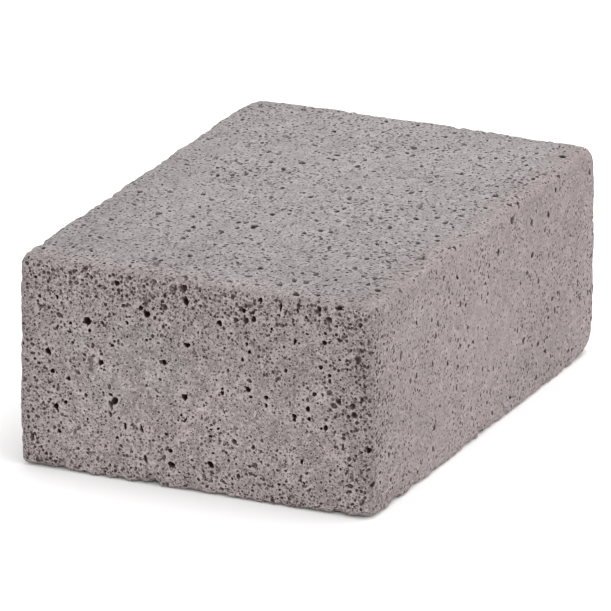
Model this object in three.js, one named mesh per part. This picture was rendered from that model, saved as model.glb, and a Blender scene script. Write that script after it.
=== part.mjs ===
// A pumice scouring stone: one sawn block of porous, foamed volcanic glass, with worn edges and corners.
// Millimetres, +Z up. The origin is the middle of the underside, so the stone rests on z = 0.
// X runs across the short end face, Y along the stone's length, and Z is its thickness.
//
// The stone is one convex solid: six sawn faces, whose edges and corners are worn round.
// Each corner is worn to a ball of its own radius, and each edge to a quarter round whose radius changes along it.
// The open pores are finer than this solid and are part of the stone's surface finish.

import * as THREE from "three";
import { ConvexGeometry } from "three/addons/geometries/ConvexGeometry.js";

// Overall size of the block.
const WIDTH = 70; // X, across the end face
const LENGTH = 100; // Y
const HEIGHT = 40; // Z

// Wear on the eight corners: the radius of the ball that each corner is worn to.
// Signs are the corner's side along X, Y and Z. The end face at -Y is called the front.
const CORNERS = [
  { at: [-1, -1, 1], radius: 3.0 }, // front, top, left: knocked
  { at: [1, -1, 1], radius: 2.4 }, // front, top, right
  { at: [-1, -1, -1], radius: 3.8 }, // front, bottom, left: knocked
  { at: [1, -1, -1], radius: 3.6 }, // front, bottom, right
  { at: [-1, 1, 1], radius: 3.0 }, // back, top, left
  { at: [1, 1, 1], radius: 2.6 }, // back, top, right
  { at: [-1, 1, -1], radius: 3.2 }, // back, bottom, left
  { at: [1, 1, -1], radius: 4.0 }, // back, bottom, right: knocked
];

// Wear along the twelve edges: quarter-round radii at even stations, the first and last of them just clear of the corners.
// "along" is the edge's own axis, and "side" gives the sides of the other two axes, in X, Y, Z order.
const EDGES = [
  { along: "x", side: [-1, 1], radii: [1.9, 1.75, 1.7, 1.8] }, // front, top
  { along: "x", side: [-1, -1], radii: [2.4, 2.2, 2.1, 2.3] }, // front, bottom
  { along: "x", side: [1, 1], radii: [1.9, 1.75, 1.7, 1.8] }, // back, top
  { along: "x", side: [1, -1], radii: [2.2, 2.1, 2.0, 2.3] }, // back, bottom
  { along: "y", side: [-1, 1], radii: [1.9, 1.75, 1.7, 1.75, 1.9] }, // left, top
  { along: "y", side: [1, 1], radii: [1.8, 1.75, 1.7, 1.7, 1.8] }, // right, top
  { along: "y", side: [-1, -1], radii: [2.2, 2.1, 2.0, 2.0, 2.2] }, // left, bottom
  { along: "y", side: [1, -1], radii: [2.3, 2.1, 2.0, 2.1, 2.4] }, // right, bottom
  { along: "z", side: [-1, -1], radii: [2.2, 2.0, 2.0] }, // front, left
  { along: "z", side: [1, -1], radii: [2.2, 2.0, 1.9] }, // front, right
  { along: "z", side: [-1, 1], radii: [2.2, 2.0, 2.0] }, // back, left
  { along: "z", side: [1, 1], radii: [2.2, 1.9, 1.9] }, // back, right
];
const CORNER_REACH = 5; // from a corner's tip to the first station of its edges

const CORNER_STEPS = 5; // facets along each worn quarter
const EDGE_STEPS = 5;

const HALF = [WIDTH / 2, LENGTH / 2, HEIGHT / 2];
const AXES = { x: 0, y: 1, z: 2 };
const points = [];

// The block is laid out about its own centre, then lifted so that its underside lies on z = 0.
function add(x, y, z) {
  points.push(new THREE.Vector3(x, y, z + HEIGHT / 2));
}

// A ball's octant, tangent to the three faces that meet at the corner.
for (const { at, radius } of CORNERS) {
  const centre = at.map((s, i) => s * (HALF[i] - radius));
  for (let i = 0; i <= CORNER_STEPS; i++) {
    const polar = (i / CORNER_STEPS) * (Math.PI / 2);
    const turns = i === 0 ? 0 : CORNER_STEPS;
    for (let j = 0; j <= turns; j++) {
      const turn = turns ? (j / turns) * (Math.PI / 2) : 0;
      const n = [
        Math.sin(polar) * Math.cos(turn),
        Math.sin(polar) * Math.sin(turn),
        Math.cos(polar),
      ];
      add(...centre.map((c, k) => c + at[k] * radius * n[k]));
    }
  }
}

// A quarter circle at each station along an edge, tangent to the two faces that meet there.
for (const { along, side, radii } of EDGES) {
  const a = AXES[along];
  const [b, c] = [0, 1, 2].filter((k) => k !== a);
  radii.forEach((radius, i) => {
    const t = i / (radii.length - 1);
    for (let j = 0; j <= EDGE_STEPS; j++) {
      const turn = (j / EDGE_STEPS) * (Math.PI / 2);
      const p = [0, 0, 0];
      p[a] = (2 * t - 1) * (HALF[a] - CORNER_REACH);
      p[b] = side[0] * (HALF[b] - radius + radius * Math.cos(turn));
      p[c] = side[1] * (HALF[c] - radius + radius * Math.sin(turn));
      add(...p);
    }
  });
}

const stone = new THREE.Mesh(
  new ConvexGeometry(points),
  new THREE.MeshStandardMaterial({
    color: new THREE.Color().setRGB(0.66, 0.615, 0.61, THREE.SRGBColorSpace),
    roughness: 0.97,
    metalness: 0,
  }),
);
stone.name = "pumice_stone";

const part = new THREE.Group();
part.name = "pumice_scouring_stone";
part.add(stone);

export default part;
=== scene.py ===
import math

import bpy
import numpy as np
from mathutils import Matrix, Vector, kdtree
from mathutils.geometry import delaunay_2d_cdt


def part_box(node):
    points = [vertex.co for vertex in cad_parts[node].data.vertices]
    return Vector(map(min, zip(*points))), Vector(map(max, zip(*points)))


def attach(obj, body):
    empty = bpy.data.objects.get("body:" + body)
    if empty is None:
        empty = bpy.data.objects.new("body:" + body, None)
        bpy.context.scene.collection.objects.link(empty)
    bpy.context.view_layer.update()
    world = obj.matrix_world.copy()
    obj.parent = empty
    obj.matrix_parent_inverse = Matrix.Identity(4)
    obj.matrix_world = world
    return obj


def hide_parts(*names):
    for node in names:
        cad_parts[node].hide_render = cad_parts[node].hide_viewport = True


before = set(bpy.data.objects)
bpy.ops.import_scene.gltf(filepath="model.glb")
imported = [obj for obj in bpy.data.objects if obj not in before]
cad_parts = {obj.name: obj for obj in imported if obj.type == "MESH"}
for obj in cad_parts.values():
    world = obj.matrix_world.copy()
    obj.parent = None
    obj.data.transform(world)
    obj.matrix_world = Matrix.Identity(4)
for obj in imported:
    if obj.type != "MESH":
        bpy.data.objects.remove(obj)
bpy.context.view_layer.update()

# A sawn block of pumice: one stone, worn at its edges and corners and open with
# gas pores all over. Work is in millimetres about the block's middle, and the
# finished mesh is written in metres in the part's own frame.

NODE = "pumice_stone"
node_lo, node_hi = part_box(NODE)
HALF = np.array([(b - a) * 500.0 for a, b in zip(node_lo, node_hi)])
MIDDLE = np.array([(a + b) * 500.0 for a, b in zip(node_lo, node_hi)])
SEED = 4127

# ---------------------------------------------------------------- listed pores
# The pores that stand out on the three faces that the picture shows, listed one by
# one: across, down, half width (mm), kind, then half height and turn if not round.
# Kinds, by depth and the painted shade inside: d deep and black, k dark, m middling, c shallow cup, l faint dish.

FRONT_PORES = [
    (3.4, 3.5, .33, "d"), (5.85, 4.05, .31, "k"), (5.85, 5.1, .25, "m"), (4.15, 7.05, .34, "k"),
    (3.75, 8.05, .3, "k"), (4.35, 9.05, .48, "m"), (7.65, 6.7, .37, "d"), (6.5, 7.0, .22, "k"),
    (8.2, 10.1, .48, "m"), (7.75, 9.15, .28, "m"), (10.3, 11.3, .34, "d"), (10.1, 13.0, .48, "d", .22, -8),
    (10.7, 14.9, .28, "d"), (13.65, 10.4, .62, "d", .78, 10), (14.1, 12.15, .34, "d"), (16.6, 10.3, .34, "k", .52, 38),
    (11.5, 1.1, .3, "k"), (12.6, 1.2, .27, "k"), (13.2, .5, .58, "k"), (13.8, 1.45, .28, "k"),
    (9.4, 2.5, .28, "k"), (18.15, 1.2, .3, "k"), (15.5, 2.6, .34, "m"), (16.1, 3.4, .3, "k"),
    (19.55, 2.3, .52, "d"), (22.1, .95, .38, "k"), (23.1, 1.35, .25, "m"), (26.95, .9, .48, "m"),
    (32.75, 1.4, .66, "k", .78, 0), (33.3, 3.85, .5, "d", .68, 6), (30.5, 3.3, .22, "k"), (24.3, 6.35, .41, "d"),
    (25.5, 7.3, .64, "d", .58, 20), (25.3, 5.0, .58, "c", .95, 0), (27.1, 7.8, .42, "k", .3, 25), (28.05, 8.1, .24, "k"),
    (26.75, 6.15, .25, "k"), (29.1, 5.5, .4, "k", .55, 0), (28.5, 6.75, .25, "k"), (29.3, 8.85, .25, "k"),
    (20.9, 6.4, .38, "k"), (21.3, 7.4, .2, "k"), (21.55, 9.55, .32, "d"), (19.0, 13.5, .27, "k"),
    (18.55, 14.35, .3, "d"), (20.6, 13.9, .3, "m"), (23.4, 13.2, .22, "m"), (25.4, 12.3, .28, "d"),
    (26.6, 11.3, .33, "k"), (27.75, 12.5, .3, "m"), (28.05, 10.2, .22, "k"), (33.45, 12.0, .62, "d", .4, 4),
    (30.35, 12.85, .28, "m"), (28.9, 16.0, .42, "d", .52, -20), (28.2, 16.0, .34, "k"), (28.1, 19.35, .3, "k"),
    (27.3, 18.5, .25, "m"), (16.3, 17.9, .46, "d", .54, -20), (17.0, 19.2, .25, "k"), (16.4, 19.0, .22, "k"),
    (19.7, 18.8, .24, "k"), (14.3, 17.9, .55, "c", .88, 0), (14.3, 19.6, .48, "c"), (14.0, 16.6, .22, "m"),
    (5.75, 17.4, .48, "d", .66, 30), (5.4, 16.1, .3, "m"), (2.8, 16.5, .3, "k"), (1.5, 17.2, .25, "m"),
    (3.1, 19.2, .27, "k"), (3.8, 19.9, .3, "k"), (7.4, 18.0, .25, "m"), (7.7, 12.4, .24, "k", .44, -15),
    (33.2, 19.2, .4, "c"), (32.9, 7.4, .25, "k"), (34.4, 7.6, .4, "k", .14, 12), (13.6, 8.8, .3, "c"),
    (36.1, 1.35, .3, "k"), (38.0, 2.5, .25, "k"), (42.6, 1.4, .54, "m", .4, 0), (45.3, .95, .3, "k"),
    (48.0, 1.3, .42, "d"), (46.0, 2.5, .56, "c"), (48.0, 2.5, .48, "m", .34, 10), (44.75, 3.8, .37, "d"),
    (46.4, 3.9, .58, "k", .27, 38), (46.7, 5.1, .5, "d"), (45.1, 5.6, .46, "k", .74, -10), (43.2, 5.75, .44, "k"),
    (43.4, 6.75, .4, "c"), (42.0, 6.75, .22, "k"), (41.0, 4.8, .3, "k"), (39.9, 6.9, .52, "d"),
    (42.2, 8.5, .3, "k"), (41.7, 9.35, .32, "k"), (36.1, 4.2, .4, "k", .28, 15), (37.4, 4.1, .3, "c"),
    (35.7, 9.3, .19, "k", .34, 0), (45.3, 10.0, .29, "d"), (46.4, 9.7, .34, "c", .6, 25), (45.85, 11.4, .37, "d"),
    (40.9, 11.5, .27, "k"), (44.45, 13.1, .33, "d"), (44.3, 14.4, .34, "c"), (47.75, 13.2, .22, "k"),
    (50.2, 6.4, .28, "d"), (50.9, 8.3, .34, "m"), (52.6, 9.5, .3, "k"), (52.4, 5.4, .44, "m", .25, 0),
    (51.6, 3.6, .4, "k", .25, -8), (52.9, 3.25, .22, "k"), (52.0, 2.0, .27, "d", .72, 0), (55.4, 1.3, .34, "k", .48, -12),
    (55.3, 2.3, .25, "d", .4, 0), (54.4, 4.0, .25, "k", .34, -12), (54.75, 8.1, .24, "d", .58, -8), (57.0, 3.2, .33, "k"),
    (57.2, 6.3, .34, "d", .2, 0), (59.55, 1.4, .4, "k", .64, 0), (59.6, 2.4, .28, "k"), (61.5, 2.95, .56, "k"),
    (61.6, 4.7, .35, "m", .5, 10), (62.8, 1.65, .35, "c"), (63.3, .4, .7, "d", .46, 0), (60.7, 5.7, .3, "d"),
    (60.55, 7.5, .42, "d"), (59.6, 6.1, .25, "m"), (62.9, 5.6, .3, "k"), (63.5, 6.6, .34, "k"),
    (65.3, 3.95, .28, "k"), (67.6, 3.1, .44, "k"), (65.5, 3.2, .34, "k", .2, 0), (67.1, 9.7, .6, "m", .8, -15),
    (65.7, 8.2, .25, "m", .4, -20), (67.6, 7.9, .58, "c", .42, 0), (53.7, 11.6, .27, "k"), (53.0, 13.9, .34, "k"),
    (51.5, 14.3, .5, "c", .3, 15), (51.5, 15.65, .54, "m", .34, 12), (59.85, 12.2, .4, "d"), (61.6, 13.5, .33, "d"),
    (61.6, 14.6, .3, "k", .44, 0), (63.3, 12.3, .3, "k"), (61.7, 11.6, .3, "m"), (65.0, 11.9, .25, "d"),
    (58.6, 17.5, .38, "d"), (60.2, 17.4, .22, "k", .44, 15), (61.6, 16.8, .5, "m"), (63.3, 18.1, .58, "k", .44, -25),
    (62.4, 19.1, .7, "m", .44, -10), (66.0, 18.75, .54, "k"), (66.5, 17.6, .4, "c"), (67.9, 17.1, .3, "k", .44, 0),
    (57.3, 18.7, .3, "m", .44, 0), (45.5, 18.65, .47, "d"), (49.1, 19.6, .41, "d"), (40.4, 19.3, .28, "d"),
    (39.25, 17.8, .25, "k"), (43.05, 18.75, .22, "k"), (52.1, 18.5, .5, "l"), (50.3, 18.3, .34, "c"),
    (46.1, 19.95, .32, "d"), (60.9, 15.9, .4, "k", .2, 0), (56.4, 15.9, .34, "c"), (60.9, 10.9, .26, "m"),
    (6.65, 21.0, .41, "d"), (5.4, 20.75, .25, "k"), (9.9, 21.95, .37, "d"), (11.7, 20.55, .4, "m"),
    (3.0, 22.8, .3, "k"), (.95, 23.4, .4, "m"), (13.25, 24.7, .35, "k"), (13.4, 25.7, .2, "k"),
    (16.75, 23.6, .24, "k"), (18.0, 22.3, .34, "m", .55, 0), (18.25, 23.75, .42, "d", .28, 0), (19.0, 24.9, .7, "d", .62, 30),
    (18.2, 25.8, .34, "k", .86, 30), (19.1, 27.0, .25, "m"), (18.2, 27.6, .28, "k", .5, 10), (19.8, 28.1, .32, "k"),
    (21.1, 29.4, .27, "d", .6, 0), (20.3, 28.8, .25, "c"), (22.7, 28.8, .3, "c", .5, 30), (24.4, 29.3, .27, "d", .74, 18),
    (19.5, 31.8, .3, "d"), (20.2, 31.3, .2, "k", .34, -10), (32.95, 22.0, .53, "d"), (34.1, 21.3, .3, "c"),
    (27.5, 22.7, .25, "k"), (32.3, 25.55, .28, "d"), (33.1, 26.4, .18, "d", .62, -26), (31.65, 26.6, .25, "k"),
    (29.2, 29.7, .3, "d"), (32.5, 30.8, .22, "k"), (30.1, 32.7, .38, "d"), (28.8, 34.2, .4, "m", .5, 0),
    (30.3, 35.3, .54, "d"), (30.8, 33.7, .4, "c"), (31.2, 34.7, .25, "c"), (25.15, 35.0, .34, "k", .72, 0),
    (24.1, 35.2, .3, "m"), (24.2, 36.2, .25, "k"), (26.2, 36.4, .22, "k"), (32.9, 39.2, .4, "k"),
    (13.55, 29.2, .24, "d"), (7.3, 27.6, .46, "d", .5, 20), (7.6, 28.3, .26, "d", .4, 25), (6.1, 26.5, .3, "k"),
    (9.2, 26.6, .35, "d"), (4.7, 27.4, .28, "k"), (8.6, 31.6, .25, "k"), (7.9, 32.35, .34, "d"),
    (5.65, 32.7, .3, "k"), (5.7, 34.7, .25, "k"), (11.0, 32.1, .34, "m"), (2.4, 34.4, .46, "k", .56, 0),
    (2.9, 33.5, .24, "k"), (2.65, 28.9, .3, "k"), (1.6, 30.6, .25, "k", .36, 0), (4.2, 36.0, .3, "k"),
    (4.6, 36.6, .25, "k"), (5.2, 37.1, .34, "k"), (3.3, 38.5, .34, "m"), (4.1, 38.8, .4, "m"),
    (8.0, 38.1, .4, "m"), (14.2, 35.7, .34, "c"), (11.7, 35.1, .28, "k"), (16.8, 39.3, .4, "k", .5, 0),
    (11.1, 39.0, .44, "m"), (20.3, 38.0, .3, "m"), (27.5, 36.0, .28, "m"), (34.4, 33.8, .27, "k"),
    (22.2, 37.2, .25, "k"), (29.8, 37.5, .27, "k"), (18.0, 37.3, .27, "k"), (27.8, 39.0, .3, "m"),
    (40.4, 20.1, .35, "d"), (49.05, 21.15, .37, "d"), (57.3, 20.5, .44, "d"), (54.65, 22.3, .46, "d"),
    (54.6, 23.0, .4, "d", .3, 8), (57.55, 22.4, .33, "d"), (60.75, 23.6, .4, "d", .54, -12), (59.9, 23.85, .3, "d"),
    (62.6, 24.0, .3, "m"), (66.4, 20.3, .58, "k"), (65.2, 20.8, .38, "k"), (63.2, 20.9, .5, "c", .34, 25),
    (66.8, 23.0, .34, "m"), (68.5, 22.8, .34, "m"), (69.3, 26.6, .5, "d"), (67.7, 27.15, .34, "k"),
    (64.2, 26.5, .28, "k", .4, 0), (65.4, 28.8, .4, "m", .5, 0), (65.4, 30.0, .36, "k", .25, -10), (68.7, 29.5, .25, "k"),
    (63.7, 31.0, .25, "k"), (56.1, 30.7, .3, "d", .4, -8), (42.8, 29.0, .44, "k", .55, 0), (46.5, 29.5, .34, "k", .45, 12),
    (48.3, 27.9, .3, "m", .4, 0), (42.8, 26.6, .34, "c", .6, -8), (40.8, 23.6, .22, "k", .44, 20), (40.2, 22.7, .4, "c"),
    (37.5, 25.5, .48, "l", .6, 0), (38.8, 25.8, .34, "c", .5, 0), (39.6, 27.0, .38, "d", .24, 32), (38.1, 27.4, .34, "d", .22, 14),
    (37.8, 27.9, .4, "c"), (38.1, 28.7, .44, "d", .24, 8), (37.9, 29.4, .48, "c", .4, 0), (38.75, 30.9, .22, "k"),
    (38.6, 31.8, .36, "d", .2, 8), (38.1, 34.1, .64, "d"), (39.6, 34.8, .5, "c"), (36.7, 35.6, .25, "k"),
    (36.8, 36.6, .4, "m", .5, 0), (38.2, 37.2, .34, "m"), (35.7, 37.4, .3, "k"), (43.6, 35.5, .36, "k", .5, 0),
    (42.4, 36.1, .22, "k", .36, 0), (40.8, 37.2, .28, "k"), (46.8, 32.9, .54, "m"), (45.8, 33.2, .34, "k", .28, 0),
    (46.1, 34.6, .34, "m"), (46.3, 37.8, .34, "k", .24, -15), (48.1, 32.0, .22, "k"), (51.6, 35.8, .36, "d", .25, 10),
    (51.7, 36.8, .27, "k"), (52.9, 33.0, .28, "k"), (53.0, 35.0, .3, "k"), (54.2, 37.7, .5, "c", .34, 0),
    (52.3, 32.2, .66, "l", .46, 20), (55.8, 34.4, .34, "k"), (57.7, 35.8, .27, "k"), (57.1, 32.8, .3, "k"),
    (63.8, 38.1, .3, "k"), (66.0, 37.3, .33, "k"), (68.2, 36.3, .28, "m"), (65.9, 32.1, .34, "c", .7, 0),
    (65.6, 33.9, .44, "m"), (65.5, 35.0, .4, "k", .3, 0), (63.6, 36.7, .34, "m"), (49.6, 36.4, .4, "m", .25, 0),
    (50.6, 30.8, .25, "m"), (51.2, 29.4, .24, "k", .4, -25), (55.9, 33.7, .25, "k", .4, 0), (52.0, 38.4, .3, "k"),
]

# Top face: across from the left side, down from the far end.
TOP_PORES = [
    (11.8, 3.2, .46, "c"), (28.75, 3.2, .38, "k"), (6.3, 4.7, .38, "c"), (31.8, 5.8, .46, "c"), (2.2, 8.7, .33, "m"),
    (11.2, 13.6, .37, "m"), (9.2, 14.3, .45, "c"), (3.8, 13.4, .36, "k"), (15.3, 18.7, .5, "c"), (16.4, 19.5, .33, "m"),
    (20.6, 16.5, .33, "m"), (22.9, 14.8, .33, "m"), (26.5, 14.4, .42, "m"), (29.4, 18.7, .33, "k"), (33.6, 17.9, .33, "k"),
    (32.1, 17.3, .28, "m"), (22.5, 21.4, .42, "m"), (28.5, 24.8, .46, "k"), (27.9, 27.2, .33, "k"), (29.1, 27.5, .36, "k"),
    (32.7, 27.0, .5, "c"), (16.2, 28.2, .42, "m"), (18.4, 28.7, .46, "m"), (11.3, 26.9, .46, "c"), (12.4, 26.7, .28, "m"),
    (15.7, 30.6, .38, "k"), (24.5, 31.4, .6, "k"), (27.2, 30.7, .46, "c"), (19.1, 33.5, .5, "m"), (22.9, 36.2, .4, "k"),
    (24.5, 37.6, .46, "c"), (9.2, 35.9, .24, "k"), (5.7, 41.5, .46, "m"), (11.7, 43.2, .48, "c"), (15.7, 43.0, .44, "m"),
    (17.8, 41.5, .42, "m"), (13.4, 44.5, .38, "k"), (22.5, 43.2, .38, "m"), (23.8, 44.5, .55, "l"), (31.7, 41.7, .38, "m"),
    (27.2, 45.9, .42, "m"), (31.8, 46.4, .33, "k"), (34.0, 48.1, .5, "k"), (34.7, 29.2, .5, "k"), (16.4, 46.1, .55, "l"),
    (43.1, 3.9, .38, "m"), (42.5, 6.7, .42, "k"), (47.5, 9.6, .38, "m"), (66.6, 7.8, .6, "k"), (62.9, 11.1, .33, "k"),
    (60.4, 11.6, .42, "m"), (43.7, 13.5, .38, "d"), (39.8, 15.1, .52, "m"), (45.3, 14.2, .33, "m"), (53.3, 15.3, .36, "k"),
    (62.6, 15.3, .38, "k"), (41.4, 19.3, .46, "m"), (46.3, 19.5, .33, "k"), (37.4, 21.7, .42, "m"), (45.3, 24.1, .33, "m"),
    (53.7, 24.8, .42, "k"), (50.2, 27.9, .4, "c"), (62.8, 23.5, .42, "m"), (66.9, 22.0, .38, "m"), (65.5, 24.8, .38, "m"),
    (38.5, 30.4, .36, "k"), (38.5, 34.0, .42, "c"), (44.2, 31.6, .42, "c"), (64.4, 33.5, .55, "k"), (63.5, 35.4, .33, "k"),
    (51.0, 37.1, .38, "k"), (49.8, 38.5, .46, "m", .75, 0), (40.0, 39.9, .42, "m"), (51.5, 43.1, .33, "k"), (59.6, 43.6, .28, "k"),
    (61.0, 44.1, .36, "d"), (62.2, 43.0, .33, "d"), (54.2, 44.7, .55, "c"), (63.2, 46.5, .52, "d"), (44.2, 46.3, .4, "k"),
    (40.9, 46.4, .5, "m"), (48.4, 46.6, .4, "m"), (59.8, 49.2, .46, "m"), (68.8, 37.2, .42, "k"), (65.5, 40.5, .42, "k"),
    (15.6, 55.3, .4, "k"), (9.5, 56.6, .5, "m"), (4.4, 58.8, .46, "m"), (18.2, 57.2, .46, "m"), (19.2, 61.1, .4, "m"),
    (27.5, 51.4, .4, "m"), (32.5, 56.6, .4, "m"), (33.7, 56.6, .36, "m"), (31.8, 60.2, .46, "k"), (20.4, 62.9, .5, "c"),
    (14.0, 66.3, .33, "k"), (6.5, 65.6, .36, "m"), (19.2, 67.3, .38, "k"), (28.0, 66.6, .42, "d"), (31.6, 67.5, .58, "k"),
    (29.4, 66.3, .42, "m"), (29.1, 69.4, .42, "m"), (12.8, 68.4, .55, "m"), (16.1, 71.3, .46, "m"), (21.8, 72.6, .4, "k"),
    (21.8, 74.7, .42, "m"), (27.5, 72.7, .46, "m"), (33.1, 72.3, .28, "k"), (6.4, 75.0, .5, "m"), (22.7, 78.6, .42, "m"),
    (29.4, 79.5, .33, "k"), (6.8, 84.6, .38, "k"), (8.9, 84.8, .46, "m"), (21.0, 82.2, .5, "l"), (27.9, 86.9, .46, "k"),
    (31.2, 86.4, .36, "k"), (22.8, 90.9, .44, "c"), (24.2, 91.2, .4, "k"), (24.2, 93.2, .7, "c"), (2.2, 94.3, .38, "k"),
    (31.6, 92.3, .42, "k"), (20.2, 98.4, .36, "c"), (31.8, 97.3, .46, "m"), (42.3, 51.7, .4, "k", .62, 25), (41.7, 53.5, .4, "k"),
    (52.5, 51.4, .42, "k"), (56.5, 51.4, .46, "k"), (62.3, 51.3, .44, "m"), (45.9, 55.1, .48, "c"), (49.8, 56.0, .36, "c"),
    (51.9, 56.3, .55, "l"), (54.2, 57.8, .45, "k"), (63.9, 58.5, .46, "k"), (60.7, 59.3, .4, "c"), (69.2, 62.7, .38, "k"),
    (68.6, 63.6, .36, "k"), (40.3, 59.6, .46, "m"), (43.4, 64.4, .5, "k"), (45.4, 64.4, .42, "k"), (41.4, 67.1, .4, "k"),
    (45.5, 68.6, .34, "k", .58, 15), (62.3, 63.4, .46, "m"), (65.0, 60.9, .46, "k"), (59.3, 73.2, .42, "m"), (62.4, 73.8, .38, "c"),
    (66.5, 70.9, .7, "c"), (57.5, 75.1, .5, "k"), (53.0, 73.8, .5, "c"), (50.7, 78.2, .5, "c"), (47.8, 78.5, .48, "c"),
    (57.6, 80.6, .46, "m"), (55.3, 82.9, .4, "k"), (63.4, 84.4, .45, "k"), (60.9, 84.0, .46, "m"), (52.7, 86.5, .55, "m"),
    (57.3, 88.2, .36, "k"), (63.4, 87.6, .4, "k"), (42.3, 87.8, .55, "k"), (37.9, 87.4, .5, "c"), (66.3, 89.8, .55, "k"),
    (50.6, 91.3, .5, "m"), (53.0, 91.3, .5, "m"), (56.8, 91.5, .4, "k"), (42.2, 92.7, .55, "m"), (49.1, 94.4, .5, "m"),
    (53.9, 97.6, .6, "d"), (57.7, 96.5, .4, "k"), (64.3, 97.0, .46, "m"), (45.5, 96.0, .42, "m"),
]

# Right side: along from the near end, down from the top.
RIGHT_PORES = [
    (3.1, 10.7, .45, "k", .36, 0), (4.0, 11.9, .34, "k"), (4.5, 13.0, .34, "m"), (2.2, 14.0, .34, "k"), (1.9, 9.5, .38, "d"),
    (6.2, 9.3, .34, "k"), (8.9, 9.5, .34, "m"), (9.0, 10.6, .38, "k"), (9.3, 7.2, .34, "k"), (9.1, 17.4, .34, "k"),
    (5.0, 20.8, .38, "k"), (10.7, 14.2, .4, "m"), (12.2, 12.5, .5, "m", .75, 0), (12.4, 4.4, .44, "c"), (18.9, 8.4, .42, "k"),
    (21.5, 6.4, .33, "k"), (22.7, 5.5, .36, "k"), (25.9, 10.1, .44, "d"), (24.3, 13.8, .35, "k"), (27.7, 13.8, .46, "m"),
    (28.6, 11.7, .5, "m"), (15.8, 13.5, .25, "k"), (27.6, 1.6, .42, "k"), (31.0, 3.9, .42, "m"), (32.5, 5.6, .5, "l"),
    (37.1, 5.6, .45, "d"), (38.2, 7.4, .34, "k"), (38.4, 11.1, .5, "k"), (40.5, 12.1, .38, "k"), (41.7, 16.7, .5, "m", .3, -25),
    (37.4, 17.8, .38, "k"), (38.2, 19.0, .42, "c"), (32.7, 20.7, .46, "k"), (42.1, 20.4, .38, "m"), (44.1, 20.3, .36, "d"),
    (37.3, 22.8, .38, "k"), (41.6, 24.5, .35, "k"), (46.1, 2.2, .42, "c"), (47.9, 12.8, .42, "d"), (49.6, 10.8, .35, "k"),
    (19.1, 18.5, .42, "k"), (16.5, 18.7, .5, "m"), (26.2, 18.7, .46, "m"), (36.8, 26.8, .42, "m"), (27.1, 31.1, .6, "d"),
    (8.0, 28.5, .36, "k"), (7.1, 29.6, .52, "d"), (4.2, 27.2, .42, "l", .3, -20), (11.5, 29.6, .5, "c", .27, -10), (3.1, 31.7, .33, "k"),
    (.8, 33.1, .55, "d", .4, 0), (3.5, 33.7, .38, "k"), (8.0, 34.6, .38, "k"), (8.9, 36.5, .3, "k"), (19.8, 37.3, .4, "m"),
    (16.2, 38.1, .32, "m"), (26.4, 35.0, .5, "m"), (38.5, 34.1, .35, "m"), (43.5, 33.1, .42, "m"), (47.7, 31.8, .35, "k"),
    (51.2, 7.8, .42, "k"), (50.6, 13.1, .36, "k"), (50.1, 14.4, .36, "k"), (55.3, 6.6, .6, "d"), (61.5, 2.4, .7, "m", .58, 0),
    (72.4, 4.1, .33, "k"), (70.5, 5.7, .62, "m"), (70.9, 12.1, .58, "d"), (68.5, 14.8, .48, "m", .38, -15), (81.5, 2.8, .46, "k"),
    (78.2, 6.5, .56, "k"), (79.2, 5.9, .28, "c"), (76.6, 9.0, .42, "m"), (78.4, 14.7, .5, "c"), (80.2, 14.9, .42, "c"),
    (73.8, 18.1, .48, "d"), (74.1, 19.4, .33, "k"), (64.4, 20.9, .42, "c"), (66.5, 24.7, .38, "k"), (64.2, 24.7, .4, "d"),
    (67.2, 27.6, .56, "d", .46, -15), (62.6, 29.4, .34, "d"), (53.3, 28.4, .42, "m"), (68.5, 32.9, .44, "c"), (73.9, 30.4, .46, "k"),
    (76.9, 30.9, .34, "k"), (78.1, 30.4, .35, "k"), (77.4, 33.0, .5, "k"), (79.8, 34.8, .33, "k"), (78.7, 26.8, .36, "k"),
    (81.7, 26.4, .34, "k", .52, 0), (80.3, 23.7, .42, "k"), (82.8, 23.4, .46, "m"), (96.8, 27.7, .44, "m"), (96.4, 33.0, .36, "k"),
    (88.0, 36.4, .48, "m", .34, 0), (61.2, 36.7, .5, "d", .3, -18), (53.0, 37.0, .42, "m"), (73.0, 36.8, .42, "m"), (97.2, 4.2, .5, "m"),
]

# depth as a share of the half width, then how dark the painted shade inside is
KINDS = {"d": (1.25, 1.0), "k": (1.05, .93), "m": (.85, .72), "c": (.6, .4), "l": (.4, .18)}

# ------------------------------------------------------------------ small maths


def smooth(lo, hi, x):
    t = np.clip((x - lo) / (hi - lo), 0.0, 1.0)
    return t * t * (3 - 2 * t)


def lattice(ix, iy, iz, seed):
    h = (ix * 374761393 + iy * 668265263 + iz * 1440662683 + seed * 974634777) & 0xFFFFFFFF
    h = ((h ^ (h >> 13)) * 1274126177) & 0xFFFFFFFF
    h = ((h ^ (h >> 15)) * 1103515245) & 0xFFFFFFFF
    return ((h ^ (h >> 16)) & 0xFFFFFF) / float(0xFFFFFF) * 2.0 - 1.0


def noise(p, wave, seed):
    """Smooth noise in space, about -1 to 1, for points p (mm)."""
    q = p / wave + 17.31 * (seed % 13)
    i = np.floor(q).astype(np.int64)
    f = q - i
    f = f * f * f * (f * (f * 6 - 15) + 10)
    total = np.zeros(len(p))
    for dx in (0, 1):
        wx = f[:, 0] if dx else 1 - f[:, 0]
        for dy in (0, 1):
            wy = f[:, 1] if dy else 1 - f[:, 1]
            for dz in (0, 1):
                wz = f[:, 2] if dz else 1 - f[:, 2]
                total += wx * wy * wz * lattice(i[:, 0] + dx, i[:, 1] + dy, i[:, 2] + dz, seed)
    return total


# ------------------------------------------------------------ the block's shape
# Every point of the stone has a place on the sharp box of the same size; the
# sharp box's edges are rounded over by a radius that wanders along them and
# grows at the knocked corners.

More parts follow.
